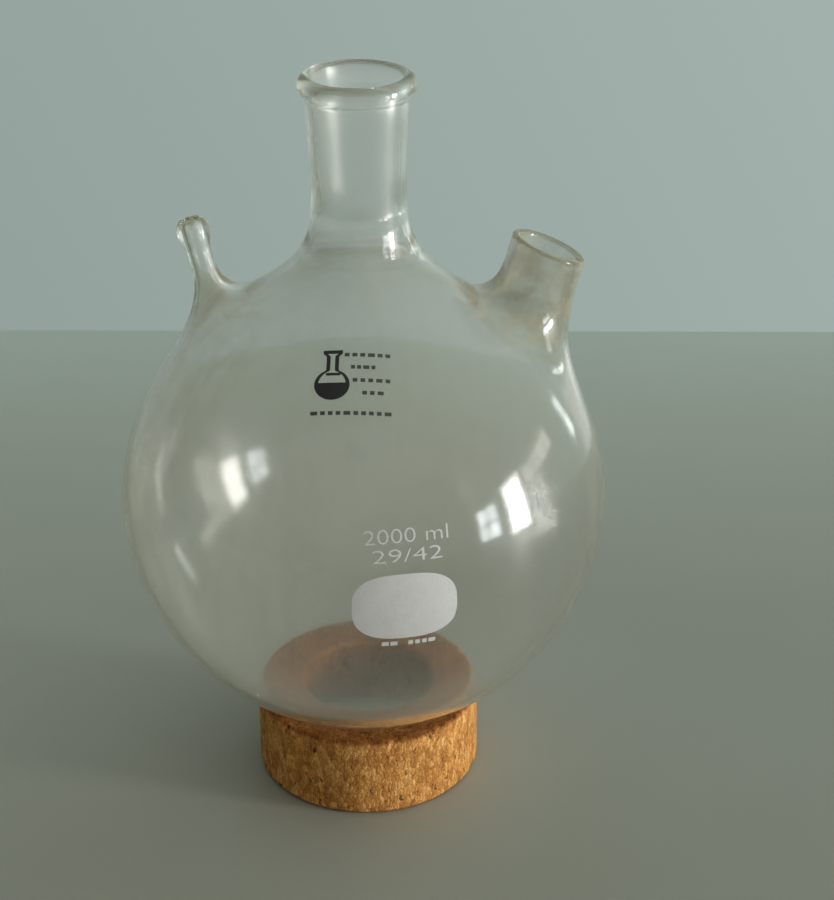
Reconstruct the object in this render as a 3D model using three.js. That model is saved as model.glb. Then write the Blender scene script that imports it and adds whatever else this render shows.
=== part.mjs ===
// A three-necked round-bottom flask resting on an agglomerated cork ring.
// Millimetres, +Z up. The origin is the centre of the cork ring's underside and Z is the flask's axis.
import * as THREE from "three";

// ---- driving dimensions ----
const RING = { radius: 40, height: 30, hole: 23.6, bevel: 1.0, edge: 0.8, segments: 48 };
const BULB = { centre: 109.5, radius: 83, wall: 2.2, columns: 40 };
const SEAM = 0.3; // gap left between two pieces that are sealed together in the real flask
const FILLET = 14; // reach of the blend between a side tube and the bulb
const TUBE_REACH = 47; // depth below the rim at which a side tube has merged into the bulb

// Distance of the outer surface from the bulb's centre, by polar angle in degrees: the collar under the
// joint, the blown shoulder that falls a little inside the true sphere, then the sphere.
const OUTLINE = [
  [11.13, 93.76], [12, 92], [13.5, 89.45], [15.6, 87.15], [18.1, 85.1], [21.2, 83.4], [25, 82.1],
  [30, 81.2], [36, 80.85], [45, 80.8], [60, 81.4], [75, 82.4], [90, 83], [105, 83], [180, 83],
];
const POLARS = [
  11.13, 12.3, 13.8, 15.6, 18.1, 21.2, 25, 29, 33, 39, 45, 51, 57, 63, 69, 76, 83, 90, 97, 104, 112, 120,
  128, 136, 144, 152, 160, 167, 174,
];
// The drawn-down hollow between the centre neck and the side neck.
const HOLLOW = { depth: 2.0, polar: 31, polarWidth: 8, azimuth: 11, azimuthWidth: 35 };

// The 29/42 joint: a rolled rim, a 1 in 10 taper 42 mm long, then the plain bore below it.
const JOINT_FOOT = 92;
const JOINT_OUTSIDE = [
  [93.5, 17.45], [95.5, 16.8], [98, 16.25], [101, 15.9], [106, 15.55], [112, 15.45], [120, 15.75], [130, 16.25],
  [138.8, 16.7], [139.8, 16.9], [140.6, 17.6], [141.5, 18.4], [142.7, 18.95], [144, 19], [145.4, 18.6],
  [146.5, 17.6], [147, 16.4],
];
const JOINT_INSIDE = [
  [146.9, 15.4], [146.4, 14.8], [145.6, 14.53], [103.5, 12.5], [102.3, 12.65], [100.5, 13.3], [97, 14.35],
  [94.5, 15.1],
];

// Side tubes. `rim` is the centre of the open end: [distance from the Z axis, height above the bulb's centre].
// `outside` and `bore` give a radius for a depth below the rim, `lip` the rounded rim between them.
const SIDE_NECK = {
  azimuth: 11, tilt: 16.5, rim: [64, 84.6], rimSlope: 6, seal: 15, block: { columns: [-3, 3], rows: [7, 14] },
  outside: [[0, 12.9], [8, 12.9], [15, 13.2], [24, 14.0], [36, 15.5], [62, 18]],
  bore: [[0, 10.3], [8, 10.3], [15, 10.7], [24, 11.7], [36, 13.3], [62, 15.8]],
  lip: [[1.5, 12.9], [0.6, 12.75], [0.1, 12.2], [0, 11.6], [0.3, 10.9], [1.2, 10.35]],
  rings: [4, 7.7, 11.4, 15],
};
const INLET_TUBE = {
  azimuth: 166, tilt: 14, rim: [58.4, 93.9], rimSlope: 0, seal: 19, block: { columns: [15, 19], rows: [7, 11] },
  outside: [[0, 4], [14, 4], [20, 4.3], [26, 5.2], [32, 6.6], [60, 14]],
  bore: [[0, 2.5], [14, 2.5], [20, 2.7], [26, 3.4], [32, 4.6], [60, 12]],
  lip: [
    [10.8, 4.05], [9, 4.5], [7.2, 5.1], [5.2, 5.45], [3.4, 5.45], [1.8, 5.1], [0.6, 4.3], [0, 3.3], [0.5, 2.65],
  ],
  rings: [12.5, 15.7, 19],
};

// ---- small helpers ----
const RAD = Math.PI / 180;
const add = (a, b, k = 1) => [a[0] + b[0] * k, a[1] + b[1] * k, a[2] + b[2] * k];
const mix = (a, b, t) => a.map((v, i) => v + (b[i] - v) * t);
const dot = (a, b) => a[0] * b[0] + a[1] * b[1] + a[2] * b[2];
const smoothMin = (a, b, k) => Math.min(a, b) - Math.max(k - Math.abs(a - b), 0) ** 2 / (4 * k);

function lookUp(table, x) {
  const i = table.findIndex((row) => row[0] >= x);
  if (i === 0) return table[0][1];
  if (i < 0) return table[table.length - 1][1];
  const [[x0, y0], [x1, y1]] = [table[i - 1], table[i]];
  return y0 + ((y1 - y0) * (x - x0)) / (x1 - x0);
}

// A smooth curve through the rows of a table.
function curve(table, x) {
  const slope = (i) => {
    const [a, b] = [table[Math.max(i - 1, 0)], table[Math.min(i + 1, table.length - 1)]];
    return (b[1] - a[1]) / (b[0] - a[0]);
  };
  const i = Math.min(Math.max(table.findIndex((row) => row[0] >= x), 1), table.length - 1);
  const [[x0, y0], [x1, y1]] = [table[i - 1], table[i]];
  const w = x1 - x0;
  const t = (x - x0) / w;
  const [t2, t3] = [t * t, t * t * t];
  return y0 * (2 * t3 - 3 * t2 + 1) + y1 * (3 * t2 - 2 * t3)
    + slope(i - 1) * w * (t3 - 2 * t2 + t) + slope(i) * w * (t3 - t2);
}

class Surface {
  constructor() {
    this.points = [];
    this.faces = [];
  }
  add(p) {
    return this.points.push(p) - 1;
  }
  row(points) {
    return points.map((p) => this.add(p));
  }
  quad(a, b, c, d, flip = false) {
    this.faces.push(...(flip ? [a, c, b, a, d, c] : [a, b, c, a, c, d]));
  }
  // Joins two closed rings of the same length; ring `b` follows ring `a` on the way along the surface.
  band(a, b, flip = false) {
    a.forEach((_, i) => {
      const j = (i + 1) % a.length;
      this.quad(a[i], a[j], b[j], b[i], flip);
    });
  }
  bands(rings, flip = false) {
    rings.slice(1).forEach((ring, i) => this.band(rings[i], ring, flip));
  }
  cap(ring, tip, flip = false) {
    ring.forEach((a, i) => {
      const b = ring[(i + 1) % ring.length];
      this.faces.push(...(flip ? [a, tip, b] : [a, b, tip]));
    });
  }
  geometry() {
    return new THREE.BufferGeometry()
      .setAttribute("position", new THREE.Float32BufferAttribute(this.points.flat(), 3))
      .setIndex(this.faces);
  }
}

// ---- materials and nodes ----
const part = new THREE.Group();
part.name = "three_neck_flask_on_cork_ring";

const glass = () => new THREE.MeshStandardMaterial({
  color: 0xdfe8e2, roughness: 0.05, metalness: 0, transparent: true, opacity: 0.35, side: THREE.DoubleSide,
});
const cork = () => new THREE.MeshStandardMaterial({ color: 0xb98450, roughness: 0.95, metalness: 0 });
const whiteEnamel = () => new THREE.MeshStandardMaterial({ color: 0xd9dedb, roughness: 0.6, metalness: 0 });
const blackEnamel = () => new THREE.MeshStandardMaterial({ color: 0x161816, roughness: 0.6, metalness: 0 });

function place(name, geometry, material) {
  geometry.computeVertexNormals();
  const mesh = new THREE.Mesh(geometry, material);
  mesh.name = name;
  part.add(mesh);
}

// A body of revolution about Z from a closed [radius, height] profile, walked with the solid on its left.
function revolved(profile, segments, height = 0) {
  const s = new Surface();
  const rings = profile.map(([r, z]) => s.row(circle(r, z + height, segments)));
  s.bands([...rings, rings[0]]);
  return s.geometry();
}

function circle(radius, z, segments, start = 0) {
  return Array.from({ length: segments }, (_, i) => {
    const a = start + (2 * Math.PI * i) / segments;
    return [radius * Math.cos(a), radius * Math.sin(a), z];
  });
}

// ---- the glass as one smooth outer surface (positions relative to the bulb's centre) ----
function outlineAt(polar) {
  const r = curve(OUTLINE, polar);
  return [r * Math.sin(polar * RAD), r * Math.cos(polar * RAD)];
}
const OUTLINE_POINTS = [
  [18.0, 93], ...Array.from({ length: 40 }, (_, i) => outlineAt(11.13 + i * 0.9)),
  ...Array.from({ length: 34 }, (_, i) => outlineAt(47.5 + i * 3.9)), [0, -BULB.radius],
];

function bodyDistance(p) {
  const r = Math.hypot(p[0], p[1]);
  let best = Infinity;
  let sign = 1;
  for (let i = 1; i < OUTLINE_POINTS.length; i++) {
    const [ar, az] = OUTLINE_POINTS[i - 1];
    const [br, bz] = OUTLINE_POINTS[i];
    const [dr, dz] = [br - ar, bz - az];
    const t = Math.min(1, Math.max(0, ((r - ar) * dr + (p[2] - az) * dz) / (dr * dr + dz * dz)));
    const [er, ez] = [r - ar - t * dr, p[2] - az - t * dz];
    const d = Math.hypot(er, ez);
    if (d < best) {
      best = d;
      sign = Math.sign(er * -dz + ez * dr) || 1;
    }
  }
  const polar = Math.atan2(r, p[2]) / RAD;
  let turn = Math.atan2(p[1], p[0]) / RAD - HOLLOW.azimuth;
  turn = ((turn + 540) % 360) - 180;
  const fade = ((polar - HOLLOW.polar) / HOLLOW.polarWidth) ** 2 + (turn / HOLLOW.azimuthWidth) ** 2;
  return sign * best + HOLLOW.depth * Math.exp(-fade);
}

// Axes of a side tube: u out of the rim, x away from the Z axis, y across.
function axesOf(tube) {
  const [a, t] = [tube.azimuth * RAD, tube.tilt * RAD];
  return {
    u: [Math.sin(t) * Math.cos(a), Math.sin(t) * Math.sin(a), Math.cos(t)],
    x: [Math.cos(t) * Math.cos(a), Math.cos(t) * Math.sin(a), -Math.sin(t)],
    y: [-Math.sin(a), Math.cos(a), 0],
    rim: [tube.rim[0] * Math.cos(a), tube.rim[0] * Math.sin(a), tube.rim[1]],
  };
}
for (const tube of [SIDE_NECK, INLET_TUBE]) tube.axes = axesOf(tube);

function tubeDistance(tube, p, table) {
  const { u, rim } = tube.axes;
  const q = add(p, rim, -1);
  const depth = -dot(q, u);
  const toWall = Math.hypot(...add(q, u, depth)) - lookUp(table, depth);
  return Math.max(toWall, depth - TUBE_REACH); // the tube's line doesn't carry on to the bulb's far side
}

function outsideAt(p) {
  const d = smoothMin(bodyDistance(p), tubeDistance(SIDE_NECK, p, SIDE_NECK.outside), FILLET);
  return smoothMin(d, tubeDistance(INLET_TUBE, p, INLET_TUBE.outside), FILLET);
}

function insideAt(p) {
  const d = smoothMin(bodyDistance(p) + BULB.wall, tubeDistance(SIDE_NECK, p, SIDE_NECK.bore), FILLET);
  return smoothMin(d, tubeDistance(INLET_TUBE, p, INLET_TUBE.bore), FILLET);
}

function settle(p, field) {
  for (let k = 0; k < 8; k++) {
    const h = 0.01;
    const f = field(p);
    const g = [0, 1, 2].map((i) => {
      const q = [...p];
      q[i] += h;
      return (field(q) - f) / h;
    });
    p = add(p, g, -f / dot(g, g));
  }
  return p;
}

// The point of a tube's surface at this depth below the rim and angle about the tube's axis.
function onTube(tube, depth, angle, field, radius) {
  const { u, x, y, rim } = tube.axes;
  const slope = Math.tan(tube.rimSlope * RAD) * Math.max(0, 1 - depth / 12);
  const at = (r) => {
    const [c, s] = [r * Math.cos(angle), r * Math.sin(angle)];
    return add(add(add(rim, x, c), y, s), u, -depth - c * slope);
  };
  if (!field) return at(radius);
  let [low, high] = [radius - 2, radius + 12];
  for (let k = 0; k < 40; k++) {
    const middle = (low + high) / 2;
    if (field(at(middle)) < 0) low = middle;
    else high = middle;
  }
  return at((low + high) / 2);
}

const lifted = (points) => points.map((p) => [p[0], p[1], p[2] + BULB.centre]);

// ---- bulb: a grid of revolution with a ring of faces led up each side tube to its seal ----
const GRID_START = SIDE_NECK.azimuth * RAD;

// Grid lines round the block that a tube stands in, in order round the tube, as [column, row].
function blockEdge({ columns: [c0, c1], rows: [r0, r1] }) {
  const edge = [];
  for (let c = c0; c < c1; c++) edge.push([c, r1]);
  for (let r = r1; r > r0; r--) edge.push([c1, r]);
  for (let c = c1; c > c0; c--) edge.push([c, r0]);
  for (let r = r0; r < r1; r++) edge.push([c0, r]);
  return edge;
}

function angleAbout(tube, p) {
  const { x, y, rim } = tube.axes;
  const q = add(p, rim, -1);
  return Math.atan2(dot(q, y), dot(q, x));
}

// Angles for the grid lines that run up a tube: halfway between an even spacing and the directions in which
// the points of the block's edge lie, so that the faces between them neither bunch up nor twist.
function anglesFor(tube, edgePoints) {
  const step = (2 * Math.PI) / edgePoints.length;
  const lags = edgePoints.map((p, i) => angleAbout(tube, p) - i * step);
  const mean = Math.atan2(
    lags.reduce((sum, a) => sum + Math.sin(a), 0),
    lags.reduce((sum, a) => sum + Math.cos(a), 0),
  );
  const around = (a) => Math.atan2(Math.sin(a), Math.cos(a));
  return lags.map((lag, i) => mean + i * step + 0.5 * around(lag - mean));
}

// Where the wall of a tube would meet the bulb if there were no blend between them.
function footOf(tube, angle, table, depth) {
  let [low, high] = [tube.seal, TUBE_REACH];
  const at = (d) => onTube(tube, d, angle, null, lookUp(table, d));
  for (let k = 0; k < 30; k++) {
    const middle = (low + high) / 2;
    if (bodyDistance(at(middle)) + depth > 0) low = middle;
    else high = middle;
  }
  return at(low);
}

function bulbSkin(s, rows, field, flip) {
  const n = BULB.columns;
  const columnOf = (c) => ((c % n) + n) % n;
  const grid = rows.map(([r, z], j) => circle(r, z, n, GRID_START)
    .map((p) => (j === 0 ? p : settle(p, field))));
  const tubes = [SIDE_NECK, INLET_TUBE];
  const inBlock = (c, r) => tubes.some(({ block: { columns, rows: span } }) => {
    const turn = columnOf(c - columns[0]);
    return turn < columns[1] - columns[0] && r >= span[0] && r < span[1];
  });
  const insideBlock = (c, r) => tubes.some(({ block: { columns, rows: span } }) => {
    const turn = columnOf(c - columns[0]);
    return turn > 0 && turn < columns[1] - columns[0] && r > span[0] && r < span[1];
  });
  const ids = grid.map((ring, r) => ring.map((p, c) => (insideBlock(c, r) ? -1 : s.add(p))));
  for (let r = 0; r + 1 < grid.length; r++) {
    for (let c = 0; c < n; c++) {
      if (inBlock(c, r)) continue;
      const d = (c + 1) % n;
      s.quad(ids[r][c], ids[r][d], ids[r + 1][d], ids[r + 1][c], !flip);
    }
  }
  const last = grid[grid.length - 1];
  const pole = s.add(settle([0, 0, last[0][2] - 1], field));
  s.cap(ids[grid.length - 1], pole, !flip);
  const seals = tubes.map((tube) => {
    const table = field === outsideAt ? tube.outside : tube.bore;
    const depth = field === outsideAt ? 0 : BULB.wall;
    const edge = blockEdge(tube.block).map(([c, r]) => [columnOf(c), r]);
    const edgePoints = edge.map(([c, r]) => grid[r][c]);
    tube.angles = tube.angles || anglesFor(tube, edgePoints);
    const top = tube.angles.map((a) => onTube(tube, tube.seal + SEAM, a, field, lookUp(table, tube.seal)));
    const feet = tube.angles.map((a) => footOf(tube, a, table, depth));
    const led = [
      ...[0.32, 0.6, 0.82, 1].map((t) => edgePoints.map((p, i) => mix(p, feet[i], t))),
      ...[0.35, 0.7].map((t) => feet.map((p, i) => mix(p, top[i], t))),
    ].map((points) => s.row(points.map((p) => settle(p, field))));
    let ring = edge.map(([c, r]) => ids[r][c]);
    for (const next of [...led, s.row(top)]) {
      s.band(ring, next, flip);
      ring = next;
    }
    return ring;
  });
  return { collar: ids[0], seals };
}

function collarBore(z) {
  let [low, high] = [10, 20];
  for (let k = 0; k < 40; k++) {
    const middle = (low + high) / 2;
    if (bodyDistance([-middle, 0, z]) + BULB.wall < 0) low = middle;
    else high = middle;
  }
  return low;
}

function bulb() {
  const s = new Surface();
  const outer = POLARS.map(outlineAt);
  const shrink = 1 - BULB.wall / BULB.radius;
  const inner = outer.map(([r, z], i) => (i === 0 ? [collarBore(z), z] : [r * shrink, z * shrink]));
  const outside = bulbSkin(s, outer, outsideAt, false);
  const inside = bulbSkin(s, inner, insideAt, true);
  s.band(outside.collar, inside.collar);
  outside.seals.forEach((ring, i) => s.band(ring, inside.seals[i]));
  s.points = lifted(s.points);
  return s.geometry();
}

// ---- centre joint, side neck and inlet tube ----
function centreJoint() {
  const foot = JOINT_FOOT + SEAM;
  const outside = [[18.0, foot], ...JOINT_OUTSIDE.map(([z, r]) => [r, z])];
  const inside = [...JOINT_INSIDE.map(([z, r]) => [r, z]), [collarBore(foot), foot]];
  return revolved([...outside, ...inside], BULB.columns, BULB.centre);
}

function sideTube(tube) {
  const s = new Surface();
  const ringAt = (depth, field, table) => s.row(lifted(tube.angles.map(
    (a) => onTube(tube, depth, a, field, lookUp(table, depth)))));
  const outside = [...tube.rings].reverse().map((d) => ringAt(d, outsideAt, tube.outside));
  const lip = tube.lip.map(([d, r]) => s.row(lifted(tube.angles.map((a) => onTube(tube, d, a, null, r)))));
  const inside = tube.rings.map((d) => ringAt(d, insideAt, tube.bore));
  const rings = [...outside, ...lip, ...inside];
  s.bands([...rings, rings[0]]);
  return s.geometry();
}

// ---- cork ring ----
function corkRing() {
  const { radius: R, height: H, hole, bevel, edge, segments } = RING;
  return revolved([
    [hole + 0.4, 0], [R - edge, 0], [R, edge], [R, H / 2], [R, H - edge], [R - edge, H],
    [hole + bevel, H], [hole, H - bevel], [hole, H / 2], [hole, 0.4],
  ], segments);
}

// ---- fired-on print, a thin skin standing just off the glass ----
const PRINT = { gap: 0.3, thickness: 0.2 };

// A point of the print, from a place on the bulb (azimuth and elevation in degrees) and an offset in mm
// to the right and up along the glass.
function onBulb([azimuth, elevation], right, up, lift) {
  const [a, e] = [azimuth * RAD, elevation * RAD];
  const out = [Math.cos(e) * Math.cos(a), Math.cos(e) * Math.sin(a), Math.sin(e)];
  const east = [-Math.sin(a), Math.cos(a), 0];
  const north = [-Math.sin(e) * Math.cos(a), -Math.sin(e) * Math.sin(a), Math.cos(e)];
  const turn = Math.hypot(right, up) / BULB.radius || 1e-9;
  const way = east.map((v, i) => v * right + north[i] * up);
  const length = Math.hypot(...way) || 1;
  const direction = add(out.map((v) => v * Math.cos(turn)), way, Math.sin(turn) / length);
  return add([0, 0, BULB.centre], direction, BULB.radius + PRINT.gap + lift);
}

// Print from a pattern of square cells: one thin block for each # of the pattern.
function patternPrint(pattern, cell, centre) {
  const s = new Surface();
  const [rows, columns] = [pattern.length, Math.max(...pattern.map((line) => line.length))];
  const filled = (r, c) => pattern[r] !== undefined && pattern[r][c] === "#";
  const corners = new Map();
  const corner = (r, c, lift) => {
    const key = `${r},${c},${lift}`;
    if (!corners.has(key)) {
      const [right, up] = [(c - columns / 2) * cell, (rows / 2 - r) * cell];
      corners.set(key, s.add(onBulb(centre, right, up, lift * PRINT.thickness)));
    }
    return corners.get(key);
  };
  const wall = (r0, c0, r1, c1) => s.quad(
    corner(r0, c0, 0), corner(r1, c1, 0), corner(r1, c1, 1), corner(r0, c0, 1));
  for (let r = 0; r < rows; r++) {
    for (let c = 0; c < columns; c++) {
      if (!filled(r, c)) continue;
      s.quad(corner(r + 1, c, 1), corner(r + 1, c + 1, 1), corner(r, c + 1, 1), corner(r, c, 1));
      s.quad(corner(r, c, 0), corner(r, c + 1, 0), corner(r + 1, c + 1, 0), corner(r + 1, c, 0));
      if (!filled(r + 1, c)) wall(r + 1, c, r + 1, c + 1);
      if (!filled(r - 1, c)) wall(r, c + 1, r, c);
      if (!filled(r, c - 1)) wall(r, c, r + 1, c);
      if (!filled(r, c + 1)) wall(r + 1, c + 1, r, c + 1);
    }
  }
  return s.geometry();
}

// The oval writing patch: rings of a rounded outline from its middle to its edge.
function ovalPrint(width, height, centre) {
  const s = new Surface();
  const segments = 36;
  const outline = (k, share) => {
    const a = (2 * Math.PI * k) / segments;
    const grow = (Math.abs(Math.cos(a)) ** 2.8 + Math.abs(Math.sin(a)) ** 2.8) ** (-1 / 2.8) * share;
    return [(Math.cos(a) * grow * width) / 2, (Math.sin(a) * grow * height) / 2];
  };
  const skin = (lift) => {
    const rings = [0.3, 0.65, 1].map((share) => s.row(Array.from({ length: segments }, (_, k) =>
      onBulb(centre, ...outline(k, share), lift * PRINT.thickness))));
    s.cap(rings[0], s.add(onBulb(centre, 0, 0, lift * PRINT.thickness)), lift === 0);
    s.bands([...rings].reverse(), lift === 0);
    return rings[2];
  };
  const top = skin(1);
  s.band(skin(0), top);
  return s.geometry();
}

// The digits share one line of cells along their feet, so that the whole mark is one skin.
const CAPACITY = [
  ".####..####..####..####............##.",
  "##..##.#..##.#..##.#..##...........##.",
  "....##.#..##.#..##.#..##..#####....##.",
  "..###..#..##.#..##.#..##..#.#.#....##.",
  ".##....#..##.#..##.#..##..#.#.#....##.",
  "##.....#..##.#..##.#..##..#.#.#....##.",
  "######################################",
];
// A plain round-bottom flask as the symbol of the label.
const SYMBOL = [
  "..#######..",
  "...#####...",
  "....###....",
  "....###....",
  "....###....",
  "....###....",
  "...#####...",
  "..#######..",
  ".#########.",
  "###########",
  "###########",
  "###########",
  "###########",
  ".#########.",
  "..#######..",
  "...#####...",
];
const LABEL = [-92.4, 52.7];
const bar = (cells, thick = 1) => Array(thick).fill("#".repeat(cells));

function prints() {
  const besideLabel = (right, up) => [
    LABEL[0] + right / (BULB.radius * RAD) / Math.cos((LABEL[1] + up / (BULB.radius * RAD)) * RAD),
    LABEL[1] + up / (BULB.radius * RAD),
  ];
  place("writing_spot", ovalPrint(33.4, 22.6, [-80.3, 1.2]), whiteEnamel());
  place("capacity_mark", patternPrint(CAPACITY, 0.72, [-79.4, 17.5]), whiteEnamel());
  place("glass_type_mark", patternPrint(bar(15, 2), 1.7, [-79.4, 13.2]), whiteEnamel());
  place("number_mark", patternPrint(bar(12), 1.6, [-79.4, -8.0]), whiteEnamel());
  place("label_symbol", patternPrint(SYMBOL, 1.16, besideLabel(-6.4, 1.6)), blackEnamel());
  const lines = [[14.6, 4.6, 9.0], [7.8, 3.4, 4.5], [12.0, 6.2, -0.2], [6.8, 6.8, -4.6], [25.9, 0, -11.6]];
  lines.forEach(([width, right, up], i) => {
    const cells = Math.round(width / 1.5);
    place(`label_line_${i + 1}`, patternPrint(bar(cells), width / cells, besideLabel(right, up)), blackEnamel());
  });
}

place("cork_ring", corkRing(), cork());
place("bulb", bulb(), glass());
place("centre_joint", centreJoint(), glass());
place("side_neck", sideTube(SIDE_NECK), glass());
place("inlet_tube", sideTube(INLET_TUBE), glass());
prints();

export default part;
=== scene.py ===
"""A three-necked round-bottom flask resting on an agglomerated cork ring.

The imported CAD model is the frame. The fused glass, the fired print and the cork ring are rebuilt
around it in finer meshes. Sizes here are in millimetres, and heights in the glass tables count from
the bulb's centre. The lamps, the camera and the meshes that Blender gets are in metres.
"""
import math

import bpy
import numpy as np
from mathutils import Matrix, Vector, noise


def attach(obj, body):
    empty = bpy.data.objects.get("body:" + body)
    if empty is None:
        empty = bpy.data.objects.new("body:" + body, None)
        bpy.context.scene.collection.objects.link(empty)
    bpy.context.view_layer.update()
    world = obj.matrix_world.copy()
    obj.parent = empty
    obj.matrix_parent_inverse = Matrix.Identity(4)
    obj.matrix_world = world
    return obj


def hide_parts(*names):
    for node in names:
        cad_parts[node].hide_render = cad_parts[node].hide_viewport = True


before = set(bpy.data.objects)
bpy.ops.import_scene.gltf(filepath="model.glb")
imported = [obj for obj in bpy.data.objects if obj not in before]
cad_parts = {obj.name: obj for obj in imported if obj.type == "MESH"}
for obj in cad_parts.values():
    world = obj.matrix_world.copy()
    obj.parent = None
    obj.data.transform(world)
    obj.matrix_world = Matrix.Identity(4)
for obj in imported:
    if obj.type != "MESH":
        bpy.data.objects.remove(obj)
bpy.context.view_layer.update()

MM = 0.001
RAD = math.pi / 180

# ---- sizes, the same as the CAD model's ----
# The height of the bulb's centre above the table, the bulb's radius and its wall.
CENTRE = 109.5
RADIUS = 83.0
WALL = 2.2
# How widely a tube's root blends into the bulb, and how far a tube's axis is followed below its rim.
FILLET = 14.0
TUBE_REACH = 47.0
RING_RADIUS = 40.0
RING_HEIGHT = 30.0
RING_HOLE = 23.6

# Distance of the outer surface from the bulb's centre, by polar angle in degrees.
OUTLINE = [
    (11.13, 93.76), (12, 92), (13.5, 89.45), (15.6, 87.15), (18.1, 85.1), (21.2, 83.4), (25, 82.1),
    (30, 81.2), (36, 80.85), (45, 80.8), (60, 81.4), (75, 82.4), (90, 83), (105, 83), (140, 83), (180, 83),
]
# The dip in the shoulder beside the side neck: its depth, and its place and half-widths in degrees.
HOLLOW = {"depth": 2.0, "polar": 31, "polar_width": 8, "azimuth": 11, "azimuth_width": 35}

# The centre joint, as (height, radius).
JOINT_OUTSIDE = [
    (147, 16.4), (146.5, 17.6), (145.4, 18.6), (144, 19), (142.7, 18.95), (141.5, 18.4), (140.6, 17.6),
    (139.8, 16.9), (138.8, 16.7), (130, 16.25), (120, 15.75), (112, 15.45), (106, 15.55), (101, 15.9),
    (98, 16.25), (95.5, 16.8), (93.5, 17.45),
]
JOINT_INSIDE = [
    (146.9, 15.4), (146.4, 14.8), (145.6, 14.53), (138, 14.16), (125, 13.53), (110, 12.8), (103.5, 12.5),
    (102.3, 12.65), (100.5, 13.3), (97, 14.35), (94.5, 15.1),
]

# Each side tube. "azimuth", "tilt" from upright and "rim_slope" are in degrees, and "rim" is the rim's
# middle as (distance from the Z axis, height). "outside" and "bore" are (depth below the rim, radius),
# and "lip" is the rounded end. "columns" and "polars" bound the block of the bulb's grid that the tube
# replaces, and "seal" is the depth where the bulb's skin ends and the tube's end part begins.
SIDE_NECK = {
    "azimuth": 11, "tilt": 16.5, "rim": (64, 84.6), "rim_slope": 6, "seal": 15, "columns": (-3, 3),
    "polars": (29, 69), "blend": FILLET,
    "outside": [(0, 12.9), (8, 12.9), (15, 13.2), (24, 14.0), (36, 15.5), (62, 18)],
    "bore": [(0, 10.3), (8, 10.3), (15, 10.7), (24, 11.7), (36, 13.3), (62, 15.8)],
    "lip": [(6, 12.9), (3.5, 12.9), (1.5, 12.9), (0.6, 12.75), (0.1, 12.2), (0, 11.6), (0.3, 10.9),
            (1.2, 10.35), (3.5, 10.3), (6, 10.3)],
}
INLET_TUBE = {
    "azimuth": 166, "tilt": 14, "rim": (58.4, 93.9), "rim_slope": 0, "seal": 17, "columns": (15, 19),
    "polars": (29, 51), "blend": FILLET,
    "outside": [(0, 4), (14, 4), (20, 4.3), (26, 5.2), (32, 6.6), (60, 14)],
    "bore": [(0, 2.5), (14, 2.5), (20, 2.7), (26, 3.4), (32, 4.6), (60, 12)],
    "lip": [(12.5, 4), (10.8, 4.05), (9, 4.5), (7.2, 5.1), (5.2, 5.45), (3.4, 5.45), (1.8, 5.1),
            (0.6, 4.3), (0, 3.3), (0.5, 2.65), (2.5, 2.5), (6, 2.5), (12.5, 2.5)],
}


# ---- curves and fields, as distances from a surface, less than zero inside it ----
def spline(points):
    """A smooth curve y(x) through the points, as a function of an array that gives (y, slope)."""
    x, y = np.array(points, float).T
    h, n = np.diff(x), len(x)
    a, b = np.eye(n), np.zeros(n)
    for i in range(1, n - 1):
        a[i, i - 1:i + 2] = h[i - 1], 2 * (h[i - 1] + h[i]), h[i]
        b[i] = 6 * ((y[i + 1] - y[i]) / h[i] - (y[i] - y[i - 1]) / h[i - 1])
    bend = np.linalg.solve(a, b)

    def at(q):
        q = np.clip(q, x[0], x[-1])
        i = np.clip(np.searchsorted(x, q) - 1, 0, n - 2)
        t, u, w = q - x[i], x[i + 1] - q, h[i]
        low, high = y[i] / w - bend[i] * w / 6, y[i + 1] / w - bend[i + 1] * w / 6
        value = (bend[i] * u ** 3 + bend[i + 1] * t ** 3) / (6 * w) + low * u + high * t
        slope = (bend[i + 1] * t ** 2 - bend[i] * u ** 2) / (2 * w) + high - low
        return value, slope

    return at


def smooth_path(points, step):
    """Points every `step` or less along a smooth curve through the given points of a plane."""
    points = np.array(points, float)
    along = np.concatenate([[0], np.cumsum(np.linalg.norm(np.diff(points, axis=0), axis=1))])
    axes = [spline(np.c_[along, column]) for column in points.T]
    at = np.linspace(0, along[-1], int(math.ceil(along[-1] / step)) + 1)
    return np.stack([axis(at)[0] for axis in axes], axis=1)


outline = spline(OUTLINE)


def smooth_min(a, b, k):
    """The lesser of two distances, blended where they differ by less than k."""
    return np.minimum(a, b) - np.maximum(k - np.abs(a - b), 0) ** 2 / (4 * k)


def body_distance(p):
    """Distance of points from the bulb's outer surface, less than zero inside it."""
    r = np.hypot(p[:, 0], p[:, 1])
    polar = np.degrees(np.arctan2(r, p[:, 2]))
    radius, slope = outline(polar)
    distance = (np.hypot(r, p[:, 2]) - radius) / np.hypot(1, slope / RAD / radius)
    turn = np.degrees(np.arctan2(p[:, 1], p[:, 0])) - HOLLOW["azimuth"]
    turn = (turn + 540) % 360 - 180
    down, along = (polar - HOLLOW["polar"]) / HOLLOW["polar_width"], turn / HOLLOW["azimuth_width"]
    return distance + HOLLOW["depth"] * np.exp(-(down ** 2 + along ** 2))


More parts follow.
